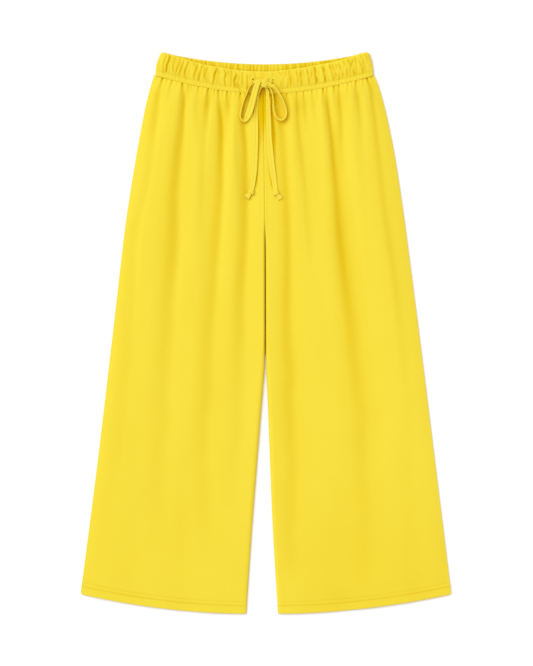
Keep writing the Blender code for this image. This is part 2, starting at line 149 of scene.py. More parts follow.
def knitCloth(name, look):
    paint = Paint(name)
    place = paint.node("ShaderNodeTexCoord", out="Object")
    across = paint.node("ShaderNodeSeparateXYZ", {}, {0: place})
    along = Wire(paint, across.socket.node.outputs[1])
    shade = paint.node("ShaderNodeAttribute", {"attribute_name": "foldShade"}, out="Fac")
    mottle = paint.noise(place, look["mottleScale"], 3, 0.6)
    cloudy = paint.noise(place, look["cloudScale"], 2, 0.5)
    fleck = paint.noise(place, look["fleckScale"], 1, 0.5)
    plain = paint.blend(cloudy, look["light"], look["deep"])
    plain = paint.blend((mottle - 0.5) * look["mottle"] + 0.5, plain, look["warm"])
    # painted shade: the colour darkens towards the two fold shade colours as the foldShade attribute rises
    plain = paint.blend(shade * 2, plain, look["fold"])
    plain = paint.blend(shade * 2 - 1, plain, look["deepFoldShadeColour"])
    turn = math.tau / look["loop"]
    wales = paint.sine(across * turn + paint.sine(along * turn) * look["loopWave"])
    rough = look["roughness"] + (fleck - 0.5) * look["fleckRough"]
    grain = (fleck - 0.5) * look["fleckRelief"] + (mottle - 0.5) * look["mottleRelief"]
    bump = paint.node("ShaderNodeBump", {}, {
        "Strength": look["bump"], "Distance": look["relief"], "Height": wales * look["wale"] + grain})
    shader = paint.node("ShaderNodeBsdfPrincipled", {}, {
        "Base Color": plain, "Roughness": rough, "Normal": bump, "Sheen Weight": look["sheen"],
        "Sheen Roughness": 0.45, "Sheen Tint": look["sheenTint"], "Specular IOR Level": look["gloss"]})
    paint.node("ShaderNodeOutputMaterial", {}, {"Surface": shader})
    return paint.material


jerseyLook = {
    "light": (0.875, 0.708, 0.063, 1), "deep": (0.85, 0.673, 0.05, 1),
    "warm": (0.859, 0.673, 0.044, 1), "mottle": 0.9, "mottleScale": 160, "cloudScale": 14,
    # the fold and deep fold colours are painted shade, used in folds, creases and shadows
    "fold": (0.745, 0.495, 0.001, 1), "deepFoldShadeColour": (0.48, 0.215, 0.001, 1),
    "loop": 0.85 * mm, "loopWave": 0.6, "wale": 0.5, "bump": 0.32, "relief": 0.25 * mm,
    "fleckScale": 900, "fleckRelief": 0.8, "mottleRelief": 1.2, "roughness": 0.88, "fleckRough": 0.14,
    "sheen": 0.02, "sheenTint": (1, 0.9, 0.45, 1), "gloss": 0.03,
}
cordLook = dict(jerseyLook, light=(0.905, 0.752, 0.092, 1), deep=(0.885, 0.722, 0.076, 1),
                fold=(0.69, 0.45, 0.01, 1), loop=0.8 * mm, bump=0.28, fleckScale=1300)
threadLook = dict(jerseyLook, light=(0.8, 0.59, 0.032, 1), deep=(0.76, 0.54, 0.024, 1),
                  loop=0.35 * mm, bump=0.2, roughness=0.7)
jersey = knitCloth("yellow_jersey", jerseyLook)
casing = knitCloth("yellow_casing", dict(jerseyLook, mottle=0.8))
tape = knitCloth("yellow_tape", cordLook)
thread = knitCloth("yellow_thread", threadLook)


def paleFloor():
    paint = Paint("pale_floor")
    place = paint.node("ShaderNodeTexCoord", out="Object")
    grain = paint.noise(place, 40)
    white = studio["floorWhite"]
    duller = (white - 0.01, white - 0.01, white - 0.005, 1)
    colour = paint.blend(grain, (white, white, white, 1), duller)
    shader = paint.node("ShaderNodeBsdfPrincipled", {}, {
        "Base Color": colour, "Roughness": 0.95, "Specular IOR Level": 0.1})
    paint.node("ShaderNodeOutputMaterial", {}, {"Surface": shader})
    return paint.material


def layFloor():
    half, drop = studio["floorSize"] / 2, -0.2 * mm
    mesh = bpy.data.meshes.new("floor")
    corners = [(x * half, y * half, drop) for x, y in ((-1, -1), (1, -1), (1, 1), (-1, 1))]
    mesh.from_pydata(corners, [], [(0, 1, 2, 3)])
    mesh.materials.append(paleFloor())
    floor = bpy.data.objects.new("floor", mesh)
    bpy.context.scene.collection.objects.link(floor)


layFloor()
print("materials mixed, floor laid")


def readTable(table, at, column):  # a smooth curve through one column of a table
    rows = np.array(sorted(table), float)
    xs, ys = rows[:, 0], rows[:, column]
    before = np.maximum(np.arange(len(xs)) - 1, 0)
    after = np.minimum(np.arange(len(xs)) + 1, len(xs) - 1)
    slope = (ys[after] - ys[before]) / (xs[after] - xs[before])
    where = np.clip(at, xs[0], xs[-1])
    i = np.clip(np.searchsorted(xs, where) - 1, 0, len(xs) - 2)
    span = xs[i + 1] - xs[i]
    t = (where - xs[i]) / span
    return ((2 * t**3 - 3 * t**2 + 1) * ys[i] + (t**3 - 2 * t**2 + t) * slope[i] * span
            + (-2 * t**3 + 3 * t**2) * ys[i + 1] + (t**3 - t**2) * slope[i + 1] * span)


def mix(first, second, share):
    return first + (second - first) * share


def ramp(value):
    t = np.clip(value, 0, 1)
    return t * t * (3 - 2 * t)


def bell(off, width, power=2):  # 1 in the middle, fading within width
    return np.exp(-np.abs(off / width) ** power)


def unit(vectors):
    return vectors / np.maximum(np.linalg.norm(vectors, axis=-1, keepdims=True), 1e-6)


def rollOver(distance, radius, blunt=0.5):  # a rounded edge: 0 at the edge, 1 from radius inwards
    t = 1 - np.clip(distance / radius, 0, 1)
    return np.maximum(1 - t * t, 0) ** blunt


def addObject(name, points, faces, material, shade):  # shade: painted shade at each point, from folds, creases and shadows, kept as the foldShade attribute
    mesh = bpy.data.meshes.new(name)
    mesh.from_pydata(points.tolist(), [], faces)
    layer = mesh.attributes.new("foldShade", "FLOAT", "POINT")
    layer.data.foreach_set("value", shade.astype(np.float32))
    mesh.shade_smooth()
    mesh.set_sharp_from_angle(angle=math.radians(62))
    mesh.materials.append(material)
    piece = bpy.data.objects.new(name, mesh)
    bpy.context.scene.collection.objects.link(piece)
    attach(piece, "root")
    return piece


def shell(name, top, under, shadeTop, shadeUnder, material):  # closed cloth from two grids of points
    rows, columns = top.shape[:2]
    ids = np.arange(rows * columns).reshape(rows, columns)
    base = rows * columns
    upper = np.stack([ids[:-1, :-1], ids[:-1, 1:], ids[1:, 1:], ids[1:, :-1]], -1).reshape(-1, 4)
    rim = np.concatenate([ids[0, :], ids[1:, -1], ids[-1, -2::-1], ids[-2:0:-1, 0]])
    following = np.roll(rim, -1)
    walls = np.stack([rim + base, following + base, following, rim], -1)
    points = np.concatenate([top.reshape(-1, 3), under.reshape(-1, 3)])
    shade = np.concatenate([shadeTop.ravel(), shadeUnder.ravel()])
    faces = np.concatenate([upper, upper[:, ::-1] + base, walls]).tolist()
    return addObject(name, points, faces, material, shade)


def foldSum(folds, x, y, aside=0):  # depth of the soft troughs; every fold is a row of stations
    total = np.zeros_like(x)
    below = ramp((120 - y) / 260)  # folds are shallower, broader and less straight towards the hem
    for stations in folds:
        low, start, lean = stations[-1][0], stations[0][1], stations[0][4]
        stations = [station[:4] for station in stations]
        depth = np.maximum(readTable(stations, y, 2), 0) * (1 - 0.12 * below)
        width = readTable(stations, y, 3) * (1 + 0.28 * below)
        stray = 1.8 * np.sin(y / 29 + start) + 1.2 * np.sin(y / 13 + 2 * start)
        path = readTable(stations, y, 1) + aside * width + below * stray
        off = (x - path) / (width * (1 + lean * np.sign(x - path)))
        depth = depth * (ramp((y - low) / 60 + 0.5) if depth.min() > 0 else 1)
        total += depth * (0.6 * bell(2.2 * off, 1) + 0.4 * bell(0.95 * off, 1))
        total -= depth * 0.22 * bell(np.abs(off) - 2, 0.8)  # the rise on both sides of a trough
    return total


# the garment's shape, in mm
waist = {
    # arches: height in the middle, rise at the ends, half width, power
    "frontSeam": (418.4, 32.4, 191, 1.8), "backSeam": (433, 18.4, 191, 1.8),
    "backTop": (471, 20.4, 180, 2), "centreX": -1.5,
    "lowEnds": (-193, 187.4), "highEnds": (-184.5, 181), "sidePower": 2.4, "corner": 5,
}
frontEdge = (
    # x and y along the upper edge of the front casing, which hides the back one at both ends
    (-190, 492.6), (-185, 492.3), (-171, 489.2), (-157, 485.6), (-150, 483.3), (-143, 480.9),
    (-129, 476.4), (-115, 472.4), (-101, 469.2), (-87, 467), (-73, 465), (-59, 462.3), (-45, 460.3),
    (-31, 459.2), (-17, 458.7), (0, 458.4), (11, 458.6), (25, 460), (39, 461.6), (53, 463.3), (67, 465.3),
    (81, 468.1), (95, 470.6), (109, 473), (123, 476), (137, 479.9), (151, 484.6), (160, 488),
    (165, 489.4), (179, 492), (186, 492.4),
)
sideSeam = (
    # y, right, left
    (451, -195.6, 189.6), (440, -199.2, 194.6), (425, -203.6, 199.6), (390, -212, 209),
    (320, -225.1, 223.6), (250, -236.7, 234.8), (180, -247, 244.6), (-30, -271.4, 271.6),
    (-240, -296.4, 297.6), (-457, -324.4, 324.4),
)
innerEdge = (
    # y, right, left: centre seam down to the crotch, then the inseams
    (451, -4.6, -4.6), (411, -4.4, -4.4), (240, -2, -2), (180, -1.7, -1.5), (150, -1.7, -.6),
    (14, -1.8, 0), (-40, -2, .1), (-64, -2.5, .6), (-82, -3.9, 1.4), (-135, -8.4, 3.8),
    (-240, -16.7, 7.8), (-345, -24.9, 12.2), (-491, -34.7, 21.3),
)
leg = {
    "hemCorner": -457, "hemDrop": 34, "hemPower": 1.9, "cornerRound": 3.5, "gap": 0.04,
    "crotch": 175, "wall": 0.9, "lift": 1.5, "seamLift": 2.4, "seamLiftReach": 40,
    "sideRoll": 36, "innerRoll": 8, "hemRoll": 1.5, "hemDepth": 20, "hemStep": 0.45,
    "innerRollUp": 3.5,  # above the fork the inner edges are sewn together
    "stitchRows": (13.87, 20.8), "rowDepth": 0.22, "rowHalf": 0.9, "rowShade": (0.19, 0.085),
    "foldStrength": 1.2, "foldAside": 0.36, "deepest": 6.5, "foldShade": 0.08, "cordShade": 0.2,
    "long": 905, "columns": 258, "rows": (15, 88, 42, 36), "backColumns": 130, "backRows": (8, 80, 30, 16),
}
puff = (
    # drop below the waist seam, how far the front cloth stands proud of the back cloth
    (0, 1.2), (3, 2.4), (10, 3.9), (30, 5.4), (70, 5.6), (140, 5.2), (300, 4.4), (500, 3.6), (700, 3),
    (940, 2.3),
)
outerSwell = 1.45  # away from the drawstring the cloth stands this much higher

frontFolds = (
    # stations down each fold: y, x, depth, half width, then on the first one its lean
    ((440, -186, .6, 7, -.3), (411, -190.5, 1.6, 12), (285, -206, 1.2, 17), (163, -232.5, 1.1, 20),
     (58, -239.5, 1.2, 22), (-152, -260.5, .9, 24), (-292, -281.5, .7, 26), (-440, -303, .3, 28)),
    ((440, -144, 1.2, 4, -.3), (411, -142.8, 2.8, 8), (384, -145.4, 3.3, 10), (357, -147.7, 3.2, 13),
     (319, -152.7, 3, 17), (282, -156.5, 2.8, 19), (244, -160.2, 2.6, 21), (163, -160.7, 2.5, 23),
     (58, -169.5, 1.8, 26), (-82, -181.7, 1.4, 28), (-292, -192.2, .8, 30), (-400, -196, 0, 32)),
    ((434, -97, 1.6, 6, -.3), (411, -101.2, 3.4, 11), (369, -106.5, 2.2, 13), (320, -111.7, 1.4, 15),
     (250, -115.2, .9, 18), (150, -119, 0, 20)),
    ((430, -83, 1, 4, -.3), (411, -83.7, 2.4, 8), (369, -78.5, 4.2, 10), (320, -78.5, 3.8, 12),
     (250, -80.2, 3.2, 16), (163, -87.2, 2.6, 19), (58, -96, 2.2, 22), (-82, -106.5, 1.7, 25),
     (-222, -113.5, 1.2, 28), (-292, -110, 1, 30), (-420, -101, 0, 32)),
    ((428, -63, 1.6, 5, -.3), (411, -66.2, 3.2, 9), (369, -66.2, 1.8, 11), (310, -66, 0, 14)),
    ((428, -43, 1, 4, -.3), (405, -43.5, 1.2, 7), (384, -41.5, 2.4, 9), (366, -39.8, 3.4, 10),
     (320, -36.5, 3.1, 11), (250, -36.5, 2.9, 14), (163, -38.2, 2.4, 17), (110, -41.7, 2.4, 18),
     (58, -45.2, 1.9, 20), (-82, -50.5, 1.3, 24), (-222, -57.5, .8, 26), (-360, -62, 0, 28)),
    ((430, 50, 1.4, 5, .3), (411, 52.8, 3.1, 10), (369, 54.5, 2.4, 12), (320, 59.8, 1.9, 14),
     (250, 66.8, 1.5, 16), (163, 73.8, 1.1, 18), (70, 79, 0, 20)),
    ((430, 66, 1, 5, .3), (411, 66.8, 1.8, 8), (350, 69, 0, 11)),
    ((436, 80, 1, 5, .3), (411, 82.5, 1.6, 9), (355, 86, 0, 12)),
    ((438, 100.6, 1.2, 4, .3), (411, 105.5, 2.8, 8), (383, 109, 3.4, 9), (345, 113, 3.4, 11),
     (310, 116, 3.3, 13), (250, 121.3, 3.3, 17), (163, 128, 3.8, 22), (58, 140.3, 2.9, 25),
     (-82, 156, 2, 27), (-222, 166.5, 1.4, 30), (-440, 171, .5, 32)),
    ((440, 122, 1, 4, .3), (411, 126.5, 2.7, 9), (369, 130, 2.3, 11), (320, 130, 1, 14),
     (270, 132, 0, 16)),
    ((442, 156, .8, 5, .3), (411, 159.5, 1.7, 10), (340, 165, .7, 14), (290, 168, 0, 16)),
    ((444, 181, 1.2, 6, .3), (411, 184, 2.2, 10), (369, 189.3, 1.9, 12), (303, 196.3, 1.5, 15),
     (207, 206.8, 1.4, 18), (110, 220.8, 1.4, 20), (23, 231.3, 1.2, 22), (-82, 241.8, .9, 24),
     (-260, 262, 0, 26)),
    ((428, 16, 1.2, 6, .1), (400, 20, 2.2, 12), (366, 25.5, 2.8, 15), (338, 28, 2.3, 16),
     (285, 31.5, 2.3, 16), (250, 33.5, 2.5, 16), (163, 37, 2.4, 17), (23, 35.3, 2.4, 19),
     (-82, 38.8, 2.5, 21), (-222, 42.3, 1.9, 23), (-423, 38.8, .9, 26)),
    ((-40, -214, 0, 30, -.3), (-240, -232, .7, 34), (-450, -244, .5, 36)),
    ((60, 100, 0, 26, .3), (-120, 104, .7, 30), (-300, 112, .8, 32), (-450, 116, .4, 34)),
    ((-100, 232, 0, 30, .3), (-280, 246, .7, 32), (-450, 256, .4, 34)),
    ((-150, -138, 0, 24, -.3), (-300, -150, .6, 28), (-450, -158, .4, 30)),
)
frontGathers = (
    # short gathers under the waist seam: x, depth, length, half width, drift of the lower end
    (-189, .8, 14, 2.4, -3), (-180.5, 2.8, 26, 2.6, -6), (-172, .8, 12, 2.2, -3),
    (-163.8, 1.6, 22, 2.4, -4), (-154.5, .8, 12, 2.2, -2), (-145.8, 2.6, 20, 2.4, 1),
    (-135.2, 1.4, 20, 2.4, 0), (-129.8, .9, 10, 2, 0), (-124, .6, 9, 2, 0), (-117.6, 1.7, 22, 2.6, -1),
    (-110, .8, 12, 2.2, -1), (-100.8, 2.5, 20, 2.4, -1), (-95, .6, 10, 2, 0), (-89.6, 1.1, 14, 2.4, 0),
    (-83.4, 2.3, 18, 2.4, 2), (-75.2, 1.1, 14, 2.2, 0), (-67.6, 2.3, 20, 2.4, 1),
    (-60.8, 1.2, 14, 2.2, 0), (-52, 1, 14, 2.4, -1), (-44.4, 2.4, 13, 2.6, 0), (-36, 1, 12, 2.2, 0),
    (-27, 1.4, 14, 2.4, 0), (-18.5, .9, 14, 2.4, 0), (-11, 1, 16, 2.2, 0), (6.5, .9, 14, 2.4, 0),
    (16, .9, 14, 2.4, 0), (25, 1.2, 14, 2.6, 1), (30, .9, 10, 2, 1), (36.4, 2.2, 20, 2.6, 2),
    (42.6, 1, 12, 2.2, 1), (47.4, .8, 10, 2, 1), (53.9, 1.7, 18, 2.4, 2), (59.5, .8, 12, 2.2, 1),
    (65.8, 1.6, 22, 2.4, 2), (73.5, .8, 12, 2.2, 1), (80.6, 1.6, 22, 2.6, 2), (89.5, 1, 14, 2.2, 1),
    (99.8, 2.6, 18, 2.4, 2), (107, 1.3, 16, 2.4, 1), (118.7, 2.3, 18, 2.4, 3), (123.2, .9, 10, 2, 1),
    (127.6, 1.9, 24, 2.6, 2), (135.5, .7, 12, 2.2, 2), (143, 1.6, 24, 2.6, 1), (150, .7, 12, 2.2, 2),
    (157.5, 2.1, 22, 2.6, 1), (162.4, .8, 10, 2, 2), (169.5, 1.2, 14, 2.2, 3), (176.4, 2.8, 22, 2.6, 8),
    (184.5, .8, 12, 2.4, 3),
)
backFolds = (
    # furrows under the back panels
    ((440, -150, 1.6, 12, 0), (250, -170, 1.5, 22), (70, -182, 1.1, 28), (-150, -196, .6, 32),
     (-300, -208, 0, 34)),
    ((440, -104, 1.2, 10, 0), (190, -122, .8, 24), (-60, -132, 0, 30)),
    ((440, -52, 1.5, 11, 0), (250, -60, 1.4, 20), (30, -67, .9, 28), (-380, -74, 0, 34)),
    ((440, 44, 1.5, 11, 0), (250, 52, 1.4, 20), (50, 61, .9, 28), (-330, 70, 0, 34)),
    ((440, 96, 1.2, 10, 0), (220, 114, .8, 24), (0, 124, 0, 30)),
    ((440, 146, 1.6, 12, 0), (250, 162, 1.5, 22), (50, 180, 1, 30), (-340, 202, 0, 34)),
)


def arch(x, line):
    middle, rise, half, power = waist[line]
    return middle + rise * np.abs((x - waist["centreX"]) / half) ** power


def frontSeam(x):
    return arch(x, "frontSeam")


def backSeam(x):
    return arch(x, "backSeam")


def frontTop(x):
    return readTable(frontEdge, x, 1)


def backTop(x):
    return arch(x, "backTop")


column = {"r": 1, "l": 2}  # of each side in the two tables above


def outerX(side, y):
    return readTable(sideSeam, y, column[side])


def innerX(side, y):
    half = leg["gap"] / 2
    return readTable(innerEdge, y, column[side]) + (-half if side == "r" else half)


def hemY(inward):
    return leg["hemCorner"] - leg["hemDrop"] * (1 - (1 - inward) ** leg["hemPower"])


def legPlace(side, seam, inward, up):  # inward from the side seam, up from the hem to the waist seam
    topOuter, topInner = outerX(side, seam(sideSeam[0][1])), innerX(side, waist["frontSeam"][0])
    topOuterY, topInnerY = seam(topOuter) - leg["gap"], seam(topInner) - leg["gap"]
    hemInnerY = leg["hemCorner"] - leg["hemDrop"]
    outerY, innerY = mix(leg["hemCorner"], topOuterY, up), mix(hemInnerY, topInnerY, up)
    seamSag = seam(mix(topOuter, topInner, inward)) - leg["gap"] - mix(topOuterY, topInnerY, inward)
    hemSag = hemY(inward) - mix(leg["hemCorner"], hemInnerY, inward)
    x = mix(outerX(side, outerY), innerX(side, innerY), inward)
    y = mix(outerY, innerY, inward) + seamSag * up + hemSag * (1 - up)
    return x, y


def gatherSum(x, drop):
    total = np.zeros_like(x)
    for at, depth, length, width, drift in frontGathers:
        reach = np.clip(drop, 0, None) / length
        centre = at + drift * np.minimum(reach, 2.5)
        total += depth * np.exp(-reach) * bell(x - centre, width * (0.48 + 0.95 * reach))
    return total


def uneven(x, y):  # soft cloth is never quite even
    return (0.3 * np.sin(x / 23 + np.sin(y / 61) * 1.4) * np.sin(y / 74 + 1.1 + np.sin(x / 49))
            + 0.16 * np.sin(x / 11 + y / 37 + np.sin(y / 29)) * np.sin(y / 33 + 0.6))


def inset(side, x, y, inward):  # distances from the side seam, the inner edge and the hem
    return np.abs(x - outerX(side, y)), np.abs(x - innerX(side, y)), y - hemY(inward)


def backFurrow(side, x, y):
    fromEdge = np.minimum(np.abs(x - outerX(side, y)), np.abs(x - innerX(side, y)))
    return foldSum(backFolds, x, y) * ramp(fromEdge / 26)


def frontHeight(side, x, y, inward):  # top of the front cloth and the painted shade on it
    drop = frontSeam(x) - y
    fromSide, fromInner, fromHem = inset(side, x, y, inward)
    above = ramp((y - leg["crotch"] + 14) / 42)
    inner = mix(leg["innerRoll"], leg["innerRollUp"], ramp((y + 70) / 60))
    sideRoll = rollOver(fromSide, leg["sideRoll"], 1)
    roll = sideRoll * mix(rollOver(fromInner, inner), 1, above)
    near = bell(x + 3, 46, 4) * ramp((y - 205) / 50)  # beside the drawstring
    swell = readTable(puff, drop, 1) * mix(outerSwell, 1, near) * mix(0.45, 1, ramp(fromHem / 45))
    valley = foldSum(frontFolds, x, y, leg["foldAside"])
    deepest = leg["deepest"]
    valley = leg["foldStrength"] * np.where(valley > 0, deepest * (1 - np.exp(-valley / deepest)), valley)
    settle = ramp(drop / 44 + 0.16)
    gathers = gatherSum(x, drop) * ramp(drop / 1.2 + 0.45)
    darkest = np.maximum(foldSum(frontFolds, x, y), 0)
    lowest = np.minimum(valley * settle + gathers * 1.3, swell * 0.86 + 1.2)
    hem = leg["hemStep"] * (1 - ramp((fromHem - leg["hemDepth"]) / 2)) * rollOver(fromHem, leg["hemRoll"])
    rows = [bell(fromHem - row, leg["rowHalf"]) for row in leg["stitchRows"]]
    ridge = (0.55 * bell(fromInner - 2.4, 1.6) - 0.8 * bell(fromInner, 0.8)) * above
    sideLine = -0.15 * bell(fromSide - 4.2, 0.8)
    drawn = leg["seamLift"] * (1 - ramp(drop / leg["seamLiftReach"])) * sideRoll
    tuck = -0.3 * bell(drop, 0.7) * (0.5 + 0.5 * np.sin(x * 1.9 + 2 * np.sin(x / 3.1)))
    base = leg["lift"] + leg["wall"] + backFurrow(side, x, y)
    rise = swell - lowest + uneven(x, y) * ramp(drop / 60) + ridge + sideLine + drawn + tuck
    height = base + rise * roll + hem - leg["rowDepth"] * sum(rows)
    # painted shade: in the troughs of the folds and gathers, lower down the legs, and in the hem's stitch
    # grooves
    gatherShade = gathers * (0.11 + 0.24 * np.exp(-drop / 5))
    shade = np.clip(darkest * settle * leg["foldShade"] + gatherShade, 0, 0.8)
    lowShade = ramp((-200 - y) / 220) * (0.026 + 0.04 * ramp((x - 30) / 60))  # painted shade, a little deeper low down and on the left leg
    sewn = sum(dark * row for row, dark in zip(rows, leg["rowShade"])) * (0.8 + 0.2 * np.sin(x * 1.7))
    return np.maximum(height, base - 0.2), shade + lowShade + sewn


def roundCorner(x, y, cornerX, cornerY, way, radius):  # rounds the outer lower corner
    u = np.clip(1 - way * (x - cornerX) / radius, 0, 1)
    v = np.clip(1 - (y - cornerY) / radius, 0, 1)
    reach = np.hypot(u, v)
    pull = np.where(reach > 0, np.maximum(u, v) / np.maximum(reach, 1e-9), 1)
    inCorner = (u > 0) & (v > 0)
    return (np.where(inCorner, cornerX + way * radius * (1 - u * pull), x),
            np.where(inCorner, cornerY + radius * (1 - v * pull), y))


def rowPlaces(length, counts):  # rows closer together at the hem and at the waist
    marks = (0, 26, length - 190, length - 34, length)
    parts = [np.linspace(marks[i], marks[i + 1], n, endpoint=False) for i, n in enumerate(counts)]
    return np.concatenate(parts + [[length]]) / length


def columnPlaces(count, bunch):
    s = np.linspace(0, 1, count)
    return mix(s, 0.5 - 0.5 * np.cos(math.pi * s), bunch)


def grid(side, seam, columns, counts):
    across = columnPlaces(columns, 0.5)
    inward = across if side == "r" else 1 - across
    inward, up = np.meshgrid(inward, rowPlaces(leg["long"], counts))
    x, y = legPlace(side, seam, inward, up)
    way = 1 if side == "r" else -1
    x, y = roundCorner(x, y, sideSeam[-1][column[side]], leg["hemCorner"], way, leg["cornerRound"])
    return x, y, inward


def stack(x, y, z):
    return np.stack([x, y, z], -1) * mm


cord = {"width": 9.5, "thick": 2.2, "steps": 5, "groove": 0.28, "loopShade": {"r": 0.26, "l": 0.052}}
# the drawstring's course on each side: x, y, z, roll in degrees, share of its full width
leadRoute = {
    "r": ((-23.3, 440.4, 7.9, 0, .36), (-21.4, 440.3, 9.6, 0, .36), (-16.5, 440.1, 11.2, 0, .46),
          (-9.6, 439.6, 12.2, 0, .6)),
    "l": ((12.7, 440, 7.9, 0, .38), (11.2, 439.9, 9.6, 0, .4), (8, 439.8, 11.2, 0, .52),
          (2.8, 439.4, 12.2, 0, .62)),
}
throughKnot = {  # into the bow loop, and out of it
    "r": (((-5.5, 439.4, 13, 0, .5), (-5.6, 440, 14.6, 0, .5)),
          ((-5.4, 432.8, 10.9, 0, .5), (-6.6, 431.2, 10.4, 0, .5))),
    "l": (((-0.8, 438, 12.9, 0, .5), (-2, 436, 12.4, 0, .5)),
          ((-2, 435, 13.8, 0, .5), (-1.4, 432.6, 12, 0, .5))),
}
loopRoute = {
    "r": ((-10.8, 440.6, 16, 0, .72), (-14.2, 436.4, 15.9, 0, .9), (-17.4, 428.4, 15.6, 0, 1),
          (-20.6, 416.7, 15.2, 0, 1.06), (-24, 402.7, 13.9, 1, 1.12), (-28, 388.7, 11.9, 5, 1.16),
          (-32.4, 378.4, 10.2, 12, 1.14), (-37.4, 372.8, 9, 38, 1.06), (-42.4, 373.8, 10, 72, 1),
          (-45, 380.6, 11, 98, 1), (-43.3, 392.2, 11.3, 100, 1), (-39.4, 405.3, 11.5, 97, .92),
          (-34.2, 417.4, 11.6, 92, .8), (-29.6, 427.6, 11.6, 82, .66), (-24, 435, 12.2, 64, .52),
          (-16, 436.4, 12, 20, .46), (-10.2, 434.6, 11.4, 0, .5)),
    "l": ((3.4, 432.4, 11.2, -30, .5), (7.6, 428.4, 11.8, -72, .62), (10.8, 421, 12.3, -84, .8),
          (13, 408, 12.3, -84, .92), (14.2, 395, 11.9, -80, 1), (16.6, 383.4, 11.5, -72, 1.04),
          (21.2, 375.6, 11.3, -70, 1.04), (27.4, 372.9, 11.4, -76, 1.02), (32.8, 375.9, 12, -80, 1),
          (35.4, 383.1, 12.5, -78, 1), (33.6, 393.9, 12.9, -74, 1), (28.8, 406.6, 13.3, -71, 1),
          (22.4, 418.4, 13.8, -67, .95), (16.6, 426.8, 14.2, -58, .85), (10.4, 432.2, 14.8, -32, .75),
          (3, 435, 15, 0, .68)),
}
tailRoute = {
    "r": ((-10.2, 428.6, 9.6, 0, .6), (-14.6, 417.4, 8.4, 0, .66), (-16.8, 404.4, 7.9, 0, .75),
          (-17.4, 386.9, 8.4, 0, .8), (-17.5, 364.2, 9.6, 0, .85), (-17.7, 337.9, 9.75, 0, .95),
          (-18.8, 311.7, 9.4, 0, 1), (-20, 285.4, 9.1, 0, 1), (-22.3, 266, 8.9, 0, .95),
          (-24.3, 252.4, 9.3, 0, .78), (-25.2, 247.4, 9.6, 0, .55)),
    "l": ((1.2, 428.4, 9.9, 0, .52), (2.8, 421.4, 9, 0, .58), (3.8, 408, 8.3, 0, .7),
          (4.6, 386.9, 8.6, 0, .84), (5.3, 364.2, 9.7, 0, .92), (6, 343, 9.75, 0, .95),
          (8, 320.4, 9.5, 0, 1), (10.2, 299.4, 9.2, 0, 1), (13, 276.7, 8.8, 0, 1),
          (15.5, 260, 8.3, 0, .88), (16.8, 250.6, 8.5, 0, .76), (17.6, 245.2, 8.9, 0, .55)),
}
tipKnots = {"r": ((-25.6, 247.4, 10.6), 231), "l": ((17.9, 245.2, 9.8), 307)}  # place, heading


def smoothRoute(rows, steps):  # a smooth path through every row
    rows = [np.array(row, float) for row in rows]
    out = []
    for i in range(len(rows) - 1):
        p, q, r, s = (rows[min(max(i + k, 0), len(rows) - 1)] for k in (-1, 0, 1, 2))
        for step in range(steps):
            t = step / steps
            out.append(0.5 * (2 * q + (r - p) * t + (2 * p - 5 * q + 4 * r - s) * t**2
                              + (3 * q - p - 3 * r + s) * t**3))
    return np.array(out + [rows[-1]])


def cordShadowMask(x, y):  # painted shadow: 1 on the cloth under the drawstring and on its shaded side, shifted to the lower right away from the key light
    best = np.full(x.shape, 1e9)
    for side in "rl":
        routes = (smoothRoute(loopRoute[side], 4), smoothRoute(tailRoute[side], 4))
        for px, py in np.concatenate(routes)[:, :2]:
            best = np.minimum(best, (x - px - 1.2) ** 2 + (y - py + 1.2) ** 2)
        px, py = tipKnots[side][0][:2]
        best = np.minimum(best, np.maximum((x - px - 1) ** 2 + (y - py + 3) ** 2 - 9, 0))
    return np.exp(-best / 4.8 ** 2)


bowShadows = (
    # painted shadows and shade on the cloth under and beside the bow, its loops and its ends: y, x, how
    # dark, half width
    ((440, -6, .5, 8), (422, -6, .62, 8), (400, -6, .56, 8), (372, -6.5, .5, 7.5), (350, -8, .34, 6),
     (320, -10, .1, 5), (290, -10, 0, 4)),
    ((400, -12.2, .2, 1.6), (352, -12, .55, 1.9), (312, -13.2, .6, 1.8), (285, -15, .72, 1.8),
     (268, -16.5, .66, 2.2), (250, -19, 0, 3)),
    ((434, 8.2, .85, 1.8), (422, 8.4, 1, 1.6), (408, 9.8, 1, 1.5), (394, 9.8, .95, 1.5),
     (380, 11, .75, 2.4), (366, 12.4, .66, 3.2), (350, 13.8, .62, 3.6), (330, 14.6, .5, 3.4),
     (300, 15.8, .24, 3), (262, 19.5, .12, 3), (248, 21, 0, 3)),
    ((432, 13, .6, 4), (420, 14.5, .55, 5), (408, 18, .36, 6), (394, 24, .2, 7), (382, 27, .16, 7),
     (372, 27, .06, 7), (360, 27, 0, 7)),
    ((430, -27, .14, 4), (415, -30.5, .22, 6), (401, -34.5, .22, 7), (388, -38.5, .2, 6),
     (376, -41, .1, 4), (370, -41, 0, 4)),
    ((426, 31, .22, 5), (408, 36, .24, 5), (394, 41, .14, 4), (380, 42, 0, 4)),
    ((320, 3.4, 0, 2), (285, 6, .26, 2.4), (262, 10.5, .52, 2.4), (248, 13, 0, 3)),
)


# painted shadow from the bow and its ends, read from the table above
def bowShadow(x, y):
    total = np.zeros_like(x)
    for stations in bowShadows:
        within = (y > stations[-1][0]) & (y < stations[0][0] + 4)
        strength = np.maximum(readTable(stations, y, 2), 0) * within
        off = (x - readTable(stations, y, 1)) / readTable(stations, y, 3)
        total = np.maximum(total, strength * bell(off, 1, 3))
    return total


def frontLeg(side):
    x, y, inward = grid(side, frontSeam, leg["columns"], leg["rows"])
    height, shade = frontHeight(side, x, y, inward)
    # painted shade: folds and gathers, shadows from the bow and beside the drawstring; the underside
    # painted a little darker throughout
    dark = np.maximum(shade, bowShadow(x, y)) + 0.3 * shade + leg["cordShade"] * cordShadowMask(x, y)
    piece = shell("frontLeg_" + side, stack(x, y, height), stack(x, y, height - leg["wall"]),
                  np.clip(dark, 0, 1), np.full_like(shade, 0.1), jersey)
    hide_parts("leg_front_" + side)
    return piece


